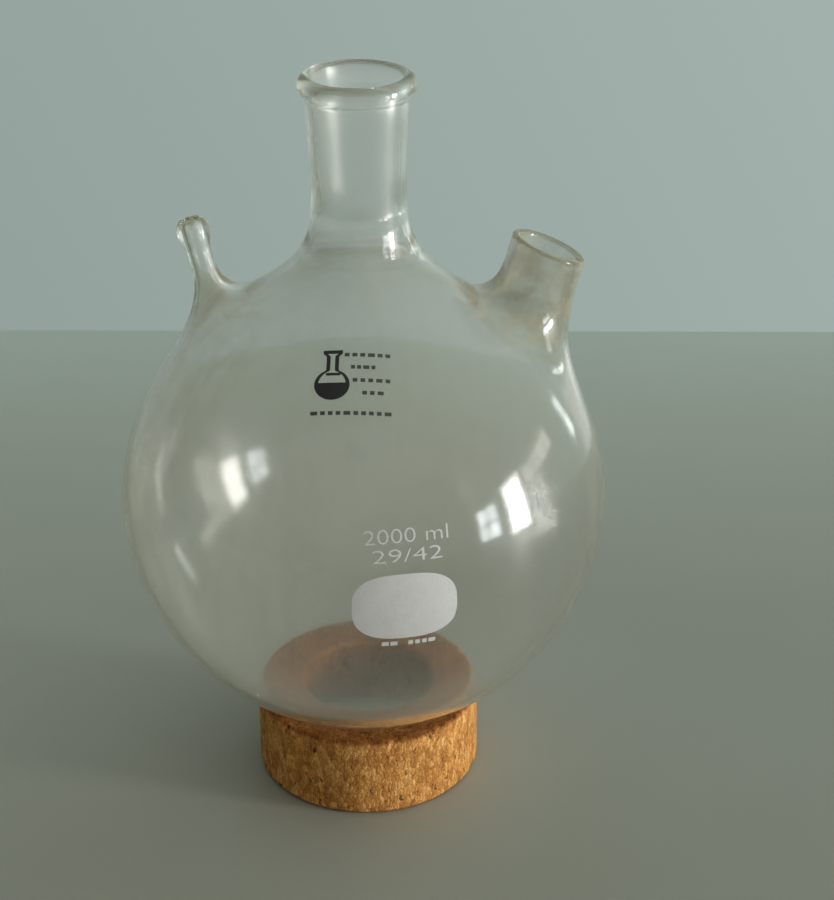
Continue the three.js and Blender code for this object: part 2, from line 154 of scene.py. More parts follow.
# Each tube's own axes, with u up along the tube, and the middle of its rim.
for tube in (SIDE_NECK, INLET_TUBE):
    a, t = tube["azimuth"] * RAD, tube["tilt"] * RAD
    tube["u"] = np.array([math.sin(t) * math.cos(a), math.sin(t) * math.sin(a), math.cos(t)])
    tube["x"] = np.array([math.cos(t) * math.cos(a), math.cos(t) * math.sin(a), -math.sin(t)])
    tube["y"] = np.array([-math.sin(a), math.cos(a), 0])
    tube["top"] = np.array([tube["rim"][0] * math.cos(a), tube["rim"][0] * math.sin(a), tube["rim"][1]])
    tube["outside_curve"], tube["bore_curve"] = spline(tube["outside"]), spline(tube["bore"])


def tube_distance(tube, p, side):
    """Distance of points from a tube's outside or bore, less than zero inside it."""
    q = p - tube["top"]
    depth = -q @ tube["u"]
    to_wall = np.linalg.norm(q + depth[:, None] * tube["u"], axis=1) - tube[side](depth)[0]
    return np.maximum(to_wall, depth - TUBE_REACH)


def outside_at(p):
    """Distance from the glass's whole outer surface."""
    d = smooth_min(body_distance(p), tube_distance(SIDE_NECK, p, "outside_curve"), SIDE_NECK["blend"])
    return smooth_min(d, tube_distance(INLET_TUBE, p, "outside_curve"), INLET_TUBE["blend"])


def inside_at(p):
    """Distance from the glass's whole inner surface."""
    d = smooth_min(body_distance(p) + WALL, tube_distance(SIDE_NECK, p, "bore_curve"), SIDE_NECK["blend"])
    return smooth_min(d, tube_distance(INLET_TUBE, p, "bore_curve"), INLET_TUBE["blend"])


def gradient(p, field):
    """The slope of a field, from its values just to each side."""
    h = 0.01
    steps = np.eye(3) * h
    return np.stack([(field(p + s) - field(p - s)) / (2 * h) for s in steps], axis=1)


def settle(p, field):
    """The points moved along the field's slope on to its surface."""
    for _ in range(8):
        g = gradient(p, field)
        p = p - g * (field(p) / (g * g).sum(1))[:, None]
    return p


# ---- the fused glass, as one closed mesh ----
# Columns of faces round the bulb. The tubes' "columns" above count in fortieths of a turn.
COLUMNS = 160
PER_COLUMN = COLUMNS // 40
GRID_START = SIDE_NECK["azimuth"] * RAD
# Rows of faces by polar angle: fine at the collar, and falling on the edges of the tubes' blocks.
TOP_POLARS = [12, 12.6, 13.3, 14.1, 15, 16, 17.1, 18.3, 19.6, 21, 22.5, 24, 25.6, 27.2]
POLARS = TOP_POLARS + list(np.linspace(29, 51, 15)) + list(np.linspace(51, 69, 12)[1:]) \
    + list(np.linspace(69, 178.2, 64)[1:])


def circle(r, z, count, start):
    a = start + 2 * math.pi * np.arange(count) / count
    return np.c_[r * np.cos(a), r * np.sin(a), np.full(count, z)]


class Mesh:
    """Vertices and faces gathered ring by ring."""

    def __init__(self):
        self.points, self.faces, self.count = [], [], 0

    def add(self, points):
        points = np.asarray(points, float).reshape(-1, 3)
        self.points.append(points)
        self.count += len(points)
        return np.arange(self.count - len(points), self.count)

    def band(self, a, b, flip=False):
        """Faces between two rings of points."""
        c, d = np.roll(b, -1), np.roll(a, -1)
        quads = np.stack([a, d, c, b], axis=1)
        self.faces += (quads[:, ::-1] if flip else quads).tolist()

    def bands(self, rings, flip=False):
        for a, b in zip(rings, rings[1:]):
            self.band(a, b, flip)

    def fan(self, ring, tip, flip=False):
        """Faces from a ring of points to one point."""
        after = np.roll(ring, -1)
        for a, b in zip(ring.tolist(), after.tolist()):
            self.faces.append([b, a, tip] if flip else [a, b, tip])

    def array(self):
        return np.concatenate(self.points)


# A cut rim's slope fades out over this depth.
RIM_FADE = 12


def on_tube(tube, depth, angle, radius):
    """Points round a tube's axis at a depth below its rim. Near a cut rim they slope with it."""
    depth = np.broadcast_to(np.asarray(depth, float), np.shape(angle))
    slope = math.tan(tube["rim_slope"] * RAD) * np.maximum(0, 1 - depth / RIM_FADE)
    c, s = radius * np.cos(angle), radius * np.sin(angle)
    across = tube["top"] + c[:, None] * tube["x"] + s[:, None] * tube["y"]
    return across - (depth + c * slope)[:, None] * tube["u"]


def on_tube_wall(tube, depth, angle, side, field):
    """The points of a tube's wall at this depth, which near the bulb stand out with the blend."""
    radius = tube[side](np.broadcast_to(np.asarray(depth, float), np.shape(angle)))[0]
    # The range in which the wall can lie, halved until it is found.
    low, high = radius - 2, radius + 12
    for _ in range(36):
        middle = (low + high) / 2
        outside = field(on_tube(tube, depth, angle, middle)) >= 0
        low, high = np.where(outside, low, middle), np.where(outside, middle, high)
    return on_tube(tube, depth, angle, (low + high) / 2)


def foot_of(tube, angle, side, inset):
    """Where a tube's wall, followed down, meets the bulb's surface."""
    low, high = np.full(len(angle), float(tube["seal"])), np.full(len(angle), TUBE_REACH)
    for _ in range(30):
        middle = (low + high) / 2
        at = on_tube(tube, middle, angle, tube[side](middle)[0])
        clear = body_distance(at) + inset > 0
        low, high = np.where(clear, middle, low), np.where(clear, high, middle)
    return on_tube(tube, low, angle, tube[side](low)[0])


def angles_for(tube, edge):
    """Halfway between an even spacing round the tube and the directions of the block's edge points."""
    q = edge - tube["top"]
    angle = np.arctan2(q @ tube["y"], q @ tube["x"])
    step = 2 * math.pi / len(edge)
    lag = angle - step * np.arange(len(edge))
    mean = math.atan2(np.sin(lag).sum(), np.cos(lag).sum())
    around = np.arctan2(np.sin(lag - mean), np.cos(lag - mean))
    return mean + step * np.arange(len(edge)) + 0.5 * around


# Rings of points from a block's edge to the tube's foot, and along each straight stretch of its wall,
# with both ends counted.
ROOT_RINGS = 15
WALL_RINGS = 9


def skin(mesh, rows, field, side, inset, flip):
    """The bulb's outer or inner surface below the collar, with rings of faces led up each side tube.

    Each tube replaces a block of the grid. From the block's edge, faces run outward to the tube's foot
    and then up its wall to the seal. The first ring of the grid and each tube's last ring are given back.
    """
    grid = [settle(circle(r, z, COLUMNS, GRID_START), field) for r, z in rows]
    blocks = []
    for tube in (SIDE_NECK, INLET_TUBE):
        c0, c1 = (c * PER_COLUMN for c in tube["columns"])
        r0, r1 = (int(np.argmin(np.abs(np.array(POLARS) - polar))) for polar in tube["polars"])
        edge = [(c, r1) for c in range(c0, c1)] + [(c1, r) for r in range(r1, r0, -1)] \
            + [(c, r0) for c in range(c1, c0, -1)] + [(c0, r) for r in range(r0, r1)]
        blocks.append((tube, c0, c1, r0, r1, [(c % COLUMNS, r) for c, r in edge]))
    inner_points = {((c % COLUMNS), r) for _, c0, c1, r0, r1, _ in blocks
                    for c in range(c0 + 1, c1) for r in range(r0 + 1, r1)}
    inner_faces = {((c % COLUMNS), r) for _, c0, c1, r0, r1, _ in blocks
                   for c in range(c0, c1) for r in range(r0, r1)}
    ids = np.full((len(grid), COLUMNS), -1)
    for r, ring in enumerate(grid):
        keep = [c for c in range(COLUMNS) if (c, r) not in inner_points]
        ids[r, keep] = mesh.add(ring[keep])
    for r in range(len(grid) - 1):
        for c in range(COLUMNS):
            if (c, r) in inner_faces:
                continue
            d = (c + 1) % COLUMNS
            quad = [int(ids[r, c]), int(ids[r + 1, c]), int(ids[r + 1, d]), int(ids[r, d])]
            mesh.faces.append(quad[::-1] if flip else quad)
    pole = settle(np.array([[0.0, 0.0, -RADIUS]]), field)
    mesh.fan(ids[-1], int(mesh.add(pole)[0]), not flip)
    mouths = []
    for tube, c0, c1, r0, r1, edge in blocks:
        border = np.array([grid[r][c] for c, r in edge])
        if "angles" not in tube:
            tube["angles"] = angles_for(tube, border)
        top = on_tube_wall(tube, tube["seal"], tube["angles"], side, field)
        feet = foot_of(tube, tube["angles"], side, inset)
        ring = np.array([ids[r, c] for c, r in edge])
        outward = [border + (feet - border) * t for t in np.sin(np.linspace(0, 90, ROOT_RINGS)[1:] * RAD)]
        upward = [feet + (top - feet) * t for t in np.linspace(0, 1, WALL_RINGS)[1:-1]]
        for points in outward + upward:
            after = mesh.add(settle(points, field))
            mesh.band(ring, after, flip)
            ring = after
        after = mesh.add(top)
        mesh.band(ring, after, flip)
        mouths.append(after)
    return ids[0], mouths


def vessel():
    """All the fused glass, walls and openings, as one closed mesh."""
    mesh = Mesh()
    radius = outline(np.array(POLARS))[0]
    sines, cosines = np.sin(np.array(POLARS) * RAD), np.cos(np.array(POLARS) * RAD)
    outer = np.c_[radius * sines, radius * cosines]
    shrink = 1 - WALL / RADIUS
    outer_collar, outer_mouths = skin(mesh, outer, outside_at, "outside_curve", 0.0, False)
    inner_collar, inner_mouths = skin(mesh, outer * shrink, inside_at, "bore_curve", WALL, True)

    # The centre joint: up its outside, over the rolled rim and down the bore, from one skin to the other.
    # The guides carry the curve on into both skins, so that it meets them without a crease.
    points = mesh.array()
    outer_top, inner_top = points[outer_collar[0]], points[inner_collar[0]]
    meet = [(np.hypot(p[0], p[1]), p[2]) for p in (outer_top, inner_top)]
    guide = [(r * math.sin(a * RAD), r * math.cos(a * RAD))
             for a in (14.5, 13.2) for r in [outline(np.array([a]))[0][0]]]
    inner_guide = [(r * shrink, z * shrink) for r, z in guide][::-1]
    outside = [(r, z) for z, r in JOINT_OUTSIDE][::-1]
    inside = [(r, z) for z, r in JOINT_INSIDE]
    path = smooth_path(guide + [meet[0]] + outside + inside + [meet[1]] + inner_guide, 0.55)
    first = int(np.argmin(np.hypot(*(path - meet[0]).T)))
    last = int(np.argmin(np.hypot(*(path - meet[1]).T)))
    path = path[first + 1:last]
    joint = [mesh.add(circle(r, z, COLUMNS, GRID_START)) for r, z in path]
    mesh.bands([outer_collar] + joint + [inner_collar])

    # The side tubes' ends: up the outside, over the lip and down the bore.
    for tube, outer_mouth, inner_mouth in zip((SIDE_NECK, INLET_TUBE), outer_mouths, inner_mouths):
        angles, lip = tube["angles"], smooth_path(tube["lip"], 0.3)
        depths = np.linspace(tube["seal"], tube["lip"][0][0], WALL_RINGS)[1:-1]
        rings = [outer_mouth]
        rings += [mesh.add(on_tube_wall(tube, d, angles, "outside_curve", outside_at)) for d in depths]
        rings += [mesh.add(on_tube(tube, d, angles, r)) for d, r in lip]
        rings += [mesh.add(on_tube_wall(tube, d, angles, "bore_curve", inside_at)) for d in depths[::-1]]
        mesh.bands(rings + [inner_mouth])
    return mesh


def make_object(name, points, faces, material, smooth=True):
    """An object at the origin, from points in millimetres."""
    data = bpy.data.meshes.new(name)
    data.from_pydata((np.asarray(points) * MM).tolist(), [], faces)
    data.update()
    data.validate()
    if smooth:
        data.shade_smooth()
    data.materials.append(material)
    made = bpy.data.objects.new(name, data)
    bpy.context.scene.collection.objects.link(made)
    return made


# ---- materials ----
# The frosted bore of the ground joint: within this radius, from this height above the bulb's centre.
GROUND_RADIUS = 15.0
GROUND_FROM = 102.8
# Roughness of the frosted bore and the finest specks, and of the glass at its cleanest and most smeared.
FROSTED = 0.24
CLEAN, SMEARED = 0.014, 0.07
GLASS_IOR = 1.474
GLASS_TINT, TINT_DENSITY = (0.90, 0.92, 0.87), 45.0
SHADOW_TINT = (0.81, 0.80, 0.77)
DUST_COLOUR = (0.58, 0.51, 0.39)
RESIDUE_COLOUR = (0.45, 0.41, 0.28)
# Dried residue: the middle of each patch, how far from it the residue is full, how far it reaches, and
# the share of the glass that it covers. They lie at the side neck's root, at the inlet tube's root, on
# the left, at the centre joint's root and on the right.
STAINS = [
    ((54, 10, 180), 8, 34, 0.38),
    ((-50, -15, 176), 5, 42, 0.10),
    ((-76, -12, 135), 10, 60, 0.075),
    ((0, -17, 202), 4, 26, 0.05),
    ((72, -10, 125), 5, 45, 0.04),
]
# The share of the glass that dust covers: all over, more where it faces up, and in the dried runs.
DUST_EVERYWHERE = 0.014
DUST_ON_TOP = 0.048
DUST_IN_RUNS = 0.03
# The cork's colours from its darkest granules to its palest, and the scales of its granules, which are
# about 1.3 mm and 3 mm wide.
CORK_TONES = [
    (0.1, (0.50, 0.215, 0.048)), (0.38, (0.68, 0.32, 0.085)), (0.62, (0.82, 0.42, 0.125)),
    (0.9, (0.94, 0.55, 0.205)),
]
FINE_GRANULES = 780.0
COARSE_GRANULES = 340.0
# How dark the painted shade on the cork's top and in its hole is, standing for the shade under the bulb,
# the depths from the top between which that painted shade sets in, and its colour.
PAINTED_TOP_SHADE = 0.95
TOP_SHADE_FROM, TOP_SHADE_FULL = 1.6, 0.5
TOP_SHADE_COLOUR = (0.44, 0.31, 0.16)
# The bench's colours from near to far, with painted light that makes it lighter and greener at the back,
# between these two y in metres.
BENCH_TONES_AND_PAINTED_LIGHT = [
    (0.15, (0.36, 0.375, 0.32)), (0.48, (0.385, 0.405, 0.36)), (0.74, (0.49, 0.53, 0.475)),
    (1.0, (0.57, 0.66, 0.605)),
]
BENCH_FROM, BENCH_TO = -0.15, 0.38


def grey(value):
    """A grey colour, or a plain value where a ramp or a mix needs a colour."""
    return (value,) * 3


class Nodes:
    """A short way to write a node tree."""

    def __init__(self, owner, output="ShaderNodeOutputMaterial"):
        owner.use_nodes = True
        self.tree = owner.node_tree
        self.tree.nodes.clear()
        self.output = self.add(output)

    def add(self, kind, inputs=None, **settings):
        """A node with its settings, each input given as a value or as the socket that feeds it."""
        node = self.tree.nodes.new(kind)
        for key, value in settings.items():
            setattr(node, key, value)
        for key, value in (inputs or {}).items():
            if isinstance(value, bpy.types.NodeSocket):
                self.tree.links.new(value, node.inputs[key])
            else:
                node.inputs[key].default_value = value
        return node

    def finish(self, shader, socket="Surface"):
        self.tree.links.new(shader.outputs[0], self.output.inputs[socket])

    def ramp(self, factor, stops):
        """The colour at this factor along a ramp of (position, colour)."""
        node = self.add("ShaderNodeValToRGB", {"Fac": factor})
        elements = node.color_ramp.elements
        while len(elements) < len(stops):
            elements.new(0.5)
        for element, (position, colour) in zip(elements, stops):
            element.position = position
            element.color = (*colour, 1)
        return node.outputs["Color"]

    def maths(self, operation, a, b=0.0, clamp=False):
        node = self.add("ShaderNodeMath", {0: a, 1: b}, operation=operation, use_clamp=clamp)
        return node.outputs[0]

    def noise(self, place, scale, detail, roughness=0.5):
        inputs = {"Vector": place, "Scale": scale, "Detail": detail, "Roughness": roughness}
        return self.add("ShaderNodeTexNoise", inputs)

    def fade(self, value, low, high, start=0.0, end=1.0):
        """A smooth change from start to end as the value goes from low to high."""
        inputs = {"Value": value, "From Min": low, "From Max": high, "To Min": start, "To Max": end}
        return self.add("ShaderNodeMapRange", inputs, interpolation_type="SMOOTHSTEP").outputs[0]

    def from_axis(self, place):
        """Distance from the Z axis."""
        flat = self.add("ShaderNodeVectorMath", {0: place, 1: (1, 1, 0)}, operation="MULTIPLY").outputs[0]
        return self.add("ShaderNodeVectorMath", {0: flat}, operation="LENGTH").outputs["Value"]

    def mix(self, factor, a, b, blend="MIX"):
        """Two colours mixed, each given as a colour or as a socket."""
        node = self.add("ShaderNodeMix", data_type="RGBA", blend_type=blend)
        for key, value in ((0, factor), (6, a), (7, b)):
            if isinstance(value, bpy.types.NodeSocket):
                self.tree.links.new(value, node.inputs[key])
            else:
                node.inputs[key].default_value = value if key == 0 else (*value, 1)
        return node.outputs[2]


def new_material(name):
    material = bpy.data.materials.new(name)
    return material, Nodes(material)


def glass_material():
    """Borosilicate glass: frosted in the ground joint, dusty where it faces up, stained in patches."""
    material, n = new_material("borosilicate_glass")
    place = n.add("ShaderNodeTexCoord").outputs["Object"]
    height = n.add("ShaderNodeSeparateXYZ", {"Vector": place}).outputs["Z"]
    ground = n.maths("MULTIPLY", n.maths("LESS_THAN", n.from_axis(place), GROUND_RADIUS * MM),
                     n.maths("GREATER_THAN", height, (CENTRE + GROUND_FROM) * MM))
    waves = n.noise(place, 38.0, 5.0, 0.62)
    smears = n.ramp(waves.outputs["Fac"], [(0.35, grey(CLEAN)), (0.75, grey(SMEARED))])
    specks = n.ramp(n.noise(place, 2400.0, 2.0).outputs["Fac"], [(0.54, grey(0.0)), (0.66, grey(1.0))])
    roughness = n.mix(specks, smears, grey(FROSTED))
    shader = n.add("ShaderNodeBsdfPrincipled", {
        "Base Color": (0.985, 0.985, 0.975, 1), "Roughness": n.mix(ground, roughness, grey(FROSTED)),
        "IOR": GLASS_IOR, "Transmission Weight": 1.0,
    })

    # Dust: a film that is thicker where the glass faces up, cloudy, with dried runs drawn out downward.
    normal = n.add("ShaderNodeNewGeometry").outputs["Normal"]
    up = n.add("ShaderNodeSeparateXYZ", {"Vector": normal}).outputs["Z"]
    settled = n.maths("MULTIPLY", n.fade(up, 0.1, 0.95), DUST_ON_TOP)
    cloudy = n.noise(place, 24.0, 6.0, 0.6)
    patches = n.ramp(cloudy.outputs["Fac"], [(0.32, grey(0.55)), (0.7, grey(1.0))])
    film = n.maths("MULTIPLY", n.maths("ADD", settled, DUST_EVERYWHERE), patches)
    drawn = n.add("ShaderNodeMapping", {"Vector": place, "Scale": (1, 1, 0.12)}, vector_type="POINT")
    runs = n.noise(drawn.outputs[0], 130.0, 3.0)
    run = n.ramp(runs.outputs["Fac"], [(0.5, grey(0.0)), (0.75, grey(DUST_IN_RUNS))])
    film = n.maths("ADD", film, run, clamp=True)
    dust = n.add("ShaderNodeBsdfDiffuse", {"Color": (*DUST_COLOUR, 1), "Roughness": 0.6})
    dusty = n.add("ShaderNodeMixShader", {0: film, 1: shader.outputs[0], 2: dust.outputs[0]})

    # Dried residue, in blots that thin out with the distance from each patch's middle.
    stain = 0.0
    for middle, full, reach, cover in STAINS:
        away = n.add("ShaderNodeVectorMath", {0: place, 1: Vector(middle) * MM}, operation="DISTANCE")
        patch = n.fade(away.outputs["Value"], full * MM, reach * MM, cover, 0.0)
        stain = n.maths("ADD", stain, patch)
    spots = n.noise(place, 120.0, 7.0, 0.68)
    blots = n.ramp(spots.outputs["Fac"], [(0.40, grey(0.1)), (0.62, grey(1.0))])
    dried = n.add("ShaderNodeBsdfDiffuse", {"Color": (*RESIDUE_COLOUR, 1), "Roughness": 0.6})
    stained = n.add("ShaderNodeMixShader", {
        0: n.maths("MULTIPLY", stain, blots), 1: dusty.outputs[0], 2: dried.outputs[0],
    })

    # Light from the lamps passes straight through, a little dimmed, so that the glass's shadow is pale.
    lamps = n.add("ShaderNodeLightPath").outputs["Is Shadow Ray"]
    clear = n.add("ShaderNodeBsdfTransparent", {"Color": (*SHADOW_TINT, 1)})
    n.finish(n.add("ShaderNodeMixShader", {0: lamps, 1: stained.outputs[0], 2: clear.outputs[0]}))
    tint = n.add("ShaderNodeVolumeAbsorption", {"Color": (*GLASS_TINT, 1), "Density": TINT_DENSITY})
    n.finish(tint, "Volume")
    return material


def cork_material():
    """Agglomerated cork: granules of two sizes pressed upright, with pits, and painted shade on its top
    and in its hole.
    """
    material, n = new_material("agglomerated_cork")
    place = n.add("ShaderNodeTexCoord").outputs["Object"]

    # The granules' outlines are warped, so that none is a plain cell, and are taller than they are wide.
    warp = n.noise(place, 700.0, 4.0, 0.6)
    shift = n.add("ShaderNodeVectorMath", {0: warp.outputs["Color"], 1: grey(0.5)}, operation="SUBTRACT")
    small = n.add("ShaderNodeVectorMath", {0: shift.outputs[0], "Scale": 0.0021}, operation="SCALE")
    moved = n.add("ShaderNodeVectorMath", {0: place, 1: small.outputs[0]}, operation="ADD")
    upright = n.add("ShaderNodeMapping", {
        "Vector": moved.outputs[0], "Scale": (1, 1, 0.42),
    }, vector_type="POINT").outputs[0]

    def granules(scale, feature="F1"):
        return n.add("ShaderNodeTexVoronoi", {"Vector": upright, "Scale": scale}, feature=feature)

    def tone_of(cells):
        return n.add("ShaderNodeSeparateColor", {"Color": cells.outputs["Color"]}).outputs[0]

    fine, coarse = granules(FINE_GRANULES), granules(COARSE_GRANULES)
    seams = granules(FINE_GRANULES, "DISTANCE_TO_EDGE").outputs["Distance"]
    tone = n.maths("ADD", n.maths("MULTIPLY", tone_of(fine), 0.6),
                   n.maths("MULTIPLY", tone_of(coarse), 0.4))
    grain = n.ramp(tone, CORK_TONES)

    # Each layer tints the grain: speckles, the seams between granules, broad patches and pits.
    speckle = n.noise(place, 1700.0, 4.0, 0.7).outputs["Fac"]
    broad = n.noise(place, 60.0, 2.0).outputs["Fac"]
    pits = n.noise(upright, 620.0, 3.0).outputs["Fac"]
    layers = [
        (1.0, speckle, [(0.3, (0.70, 0.62, 0.52)), (0.55, (1, 1, 1))]),
        (0.55, seams, [(0.0, (0.45, 0.33, 0.22)), (0.16, (1, 1, 1))]),
        (1.0, broad, [(0.3, (0.86, 0.82, 0.76)), (0.7, (1.06, 1.05, 1.02))]),
        (0.9, pits, [(0.30, (0.22, 0.12, 0.05)), (0.41, (1, 1, 1))]),
    ]
    for share, factor, stops in layers:
        grain = n.mix(share, grain, n.ramp(factor, stops), "MULTIPLY")

    # Painted shade: the cork's top and its hole are darkened to stand for the shade under the bulb.
    level = n.add("ShaderNodeSeparateXYZ", {"Vector": place}).outputs["Z"]
    on_top = n.add("ShaderNodeMapRange", {
        "Value": level, "From Min": (RING_HEIGHT - TOP_SHADE_FROM) * MM,
        "From Max": (RING_HEIGHT - TOP_SHADE_FULL) * MM,
    }).outputs[0]
    in_hole = n.maths("LESS_THAN", n.from_axis(place), (RING_HOLE + 1) * MM)
    painted_shade = n.maths("MULTIPLY", n.maths("MAXIMUM", on_top, in_hole), PAINTED_TOP_SHADE)
    grain = n.mix(painted_shade, grain, TOP_SHADE_COLOUR, "MULTIPLY")

    height = n.maths("ADD", n.maths("MULTIPLY", seams, 1.1), n.maths("MULTIPLY", speckle, 0.3))
    height = n.maths("ADD", height, n.maths("MULTIPLY", pits, 0.9))
    bump = n.add("ShaderNodeBump", {"Height": height, "Strength": 0.7, "Distance": 0.0006})
    n.finish(n.add("ShaderNodeBsdfPrincipled", {
        "Base Color": grain, "Roughness": 0.82, "Normal": bump.outputs["Normal"],
        "Specular IOR Level": 0.25,
    }))
    return material


def enamel_material(name, colour, grit):
    """Fired enamel: a chalky matte layer, with specks that are darker by the share called grit."""
    material, n = new_material(name)
    place = n.add("ShaderNodeTexCoord").outputs["Object"]
    fine = n.noise(place, 1300.0, 4.0, 0.65).outputs["Fac"]
    broad = n.noise(place, 160.0, 3.0).outputs["Fac"]
    low = tuple(c * (1 - grit) for c in colour)
    wash = n.ramp(broad, [(0.3, grey(0.93)), (0.7, grey(1.0))])
    shade = n.mix(1.0, n.ramp(fine, [(0.3, low), (0.62, colour)]), wash, "MULTIPLY")
    bump = n.add("ShaderNodeBump", {"Height": fine, "Strength": 0.35, "Distance": 0.0001})
    n.finish(n.add("ShaderNodeBsdfPrincipled", {
        "Base Color": shade, "Roughness": 0.55, "Normal": bump.outputs["Normal"],
    }))
    return material


GLASS = glass_material()
CORK = cork_material()
WHITE = enamel_material("white_enamel", (0.67, 0.68, 0.67), 0.08)
BLACK = enamel_material("black_enamel", (0.022, 0.024, 0.022), 0.3)
WORN_BLACK = enamel_material("worn_black_enamel", (0.085, 0.082, 0.07), 0.35)

# ---- glass ----
body = vessel()
glass = make_object("flask_glass", body.array() + (0, 0, CENTRE), body.faces, GLASS)
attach(glass, "flask")
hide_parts("bulb", "centre_joint", "side_neck", "inlet_tube")

# ---- cork ring ----
RING_COLUMNS = 420
RING_STEP = 0.6
# The ring's cut corners: outside, where the bulb sits, and at the hole's lower edge.
OUTER_CUT, SEAT_CUT, LOWER_CUT = 0.9, 1.3, 0.5
# The granules' roughness: (size of the noise, depth) of a broad part and of a fine one.
BROAD_ROUGH, FINE_ROUGH = (0.55, 0.16), (1.6, 0.2)
# Worn corners: how near to a corner they begin, the noise above which they are worn, and how deep.
WORN_REACH, WORN_FROM, WORN_DEPTH = 2.4, 0.12, 2.6
# The distance from each edge is counted up to this.
EDGE_LIMIT = 2.5


def ring_profile():
    """The ring's closed section, from the underside's inner edge out, up and back down the hole."""
    inner, outer, top = RING_HOLE, RING_RADIUS, RING_HEIGHT
    corners = [
        (inner + LOWER_CUT, 0), (outer - OUTER_CUT, 0), (outer, OUTER_CUT), (outer, top - OUTER_CUT),
        (outer - OUTER_CUT, top), (inner + SEAT_CUT, top), (inner, top - SEAT_CUT), (inner, LOWER_CUT),
    ]
    points = []
    for (r0, z0), (r1, z1) in zip(corners, corners[1:] + corners[:1]):
        steps = max(2, int(math.hypot(r1 - r0, z1 - z0) / RING_STEP))
        points += [(r0 + (r1 - r0) * k / steps, z0 + (z1 - z0) * k / steps) for k in range(steps)]
    return np.array(points)


def cork_ring():
    """The ring, with its surface set back by the granules and more at its worn corners."""
    profile = ring_profile()
    mesh = Mesh()
    angles = 2 * math.pi * np.arange(RING_COLUMNS) / RING_COLUMNS
    middle = np.array([(RING_RADIUS + RING_HOLE) / 2, RING_HEIGHT / 2])
    rings = []
    for r, z in profile:
        ring = []
        to_corner = min(RING_RADIUS - r, EDGE_LIMIT) + min(RING_HEIGHT - z, z, EDGE_LIMIT)
        for a in angles:
            c, s = math.cos(a), math.sin(a)
            place = Vector((r * c, r * s, z * 0.6))
            broad = 0.5 + 0.5 * noise.noise(place * BROAD_ROUGH[0])
            fine = 0.5 + 0.5 * noise.noise(place * FINE_ROUGH[0] + Vector((9, 4, 2)))
            depth = BROAD_ROUGH[1] * broad + FINE_ROUGH[1] * fine
            worn = noise.noise(Vector((r * c, r * s, z)) * 0.28 + Vector((31, 7, 5)))
            if to_corner < WORN_REACH and z > 0.2:
                depth += max(0.0, worn - WORN_FROM) * WORN_DEPTH * (1 - to_corner / WORN_REACH)
            away = np.array([r, z]) - middle
            away /= np.linalg.norm(away)
            # The underside stays flat on the bench.
            if z <= 0:
                away[1] = 0.0
                depth *= 0.3
            ring.append(((r - away[0] * depth) * c, (r - away[0] * depth) * s, z - away[1] * depth))
        rings.append(mesh.add(ring))
    mesh.bands(rings + [rings[0]])
    return mesh


ring_mesh = cork_ring()
ring = make_object("cork_stand", ring_mesh.array(), ring_mesh.faces, CORK)
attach(ring, "ring")
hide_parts("cork_ring")

# ---- fired print ----
# How far the print stands off the glass, so that the two don't share a surface, and how thick it is.
PRINT_GAP = 0.05
PRINT_THICKNESS = 0.12
# The widest face of a block of print, so that it follows the glass.
BLOCK_FACE = 1.5


def on_bulb(place, flat, lift):
    """Flat points, in mm to the right of and above a place on the bulb, laid along the glass.

    The place is (azimuth, elevation) in degrees, from the bulb's centre.
    """
    a, e = place[0] * RAD, place[1] * RAD
    out = np.array([math.cos(e) * math.cos(a), math.cos(e) * math.sin(a), math.sin(e)])
    east = np.array([-math.sin(a), math.cos(a), 0])
    north = np.cross(out, east)
    flat = np.asarray(flat, float)
    length = np.maximum(np.hypot(flat[:, 0], flat[:, 1]), 1e-9)
    turn = length / RADIUS
    way = (flat[:, :1] * east + flat[:, 1:2] * north) / length[:, None]
    direction = out * np.cos(turn)[:, None] + way * np.sin(turn)[:, None]
    surface = outline(np.degrees(np.arccos(np.clip(direction[:, 2], -1, 1))))[0]
    return np.array([0, 0, CENTRE]) + direction * (surface + PRINT_GAP + lift)[:, None]


def print_solid(flat, faces, place):
    """Points and faces of a thin skin over flat faces, with walls along every open edge."""
    flat, count = np.asarray(flat, float), len(flat)
    lift = np.full(count, PRINT_THICKNESS)
    points = np.concatenate([on_bulb(place, flat, lift * 0), on_bulb(place, flat, lift)])
    solid = [[i + count for i in face] for face in faces] + [list(face)[::-1] for face in faces]
    edges = {(a, b): True for face in faces for a, b in zip(face, list(face[1:]) + [face[0]])}
    for a, b in edges:
        if (b, a) not in edges:
            solid.append([a, b, b + count, a + count])
    return points, solid


def text_flat(body, height, width):
    """A line of print as flat faces, centred, with the given capital height and overall width in mm."""
    curve = bpy.data.curves.new("line", "FONT")
    curve.body = body
    curve.size = 10
    curve.resolution_u = 3
    # Strokes a little thinner than the font's.
    curve.offset = -0.12
    made = bpy.data.objects.new("line", curve)
    bpy.context.scene.collection.objects.link(made)
    bpy.context.view_layer.update()
    mesh = bpy.data.meshes.new_from_object(made.evaluated_get(bpy.context.evaluated_depsgraph_get()))
    points = np.array([v.co[:2] for v in mesh.vertices])
    faces = [list(p.vertices) for p in mesh.polygons]
    bpy.data.objects.remove(made)
    bpy.data.curves.remove(curve)
    bpy.data.meshes.remove(mesh)
    low, high = points.min(0), points.max(0)
    points = (points - (low + high) / 2) / (high - low) * (width, height)
    return points, faces


def merge(parts):
    """Several (points, faces) as one."""
    points, faces = [], []
    for p, f in parts:
        start = sum(len(q) for q in points)
        points.append(np.asarray(p, float))
        faces += [[i + start for i in face] for face in f]
    return np.concatenate(points), faces


def block(x, y, width, height):
    """A flat block of print round (x, y), cut across so that it follows the glass."""
    count = max(1, int(width / BLOCK_FACE))
    xs = np.linspace(x - width / 2, x + width / 2, count + 1)
    points = [(q, y + s * height / 2) for q in xs for s in (-1, 1)]
    return np.array(points), [[2 * i, 2 * i + 2, 2 * i + 3, 2 * i + 1] for i in range(count)]


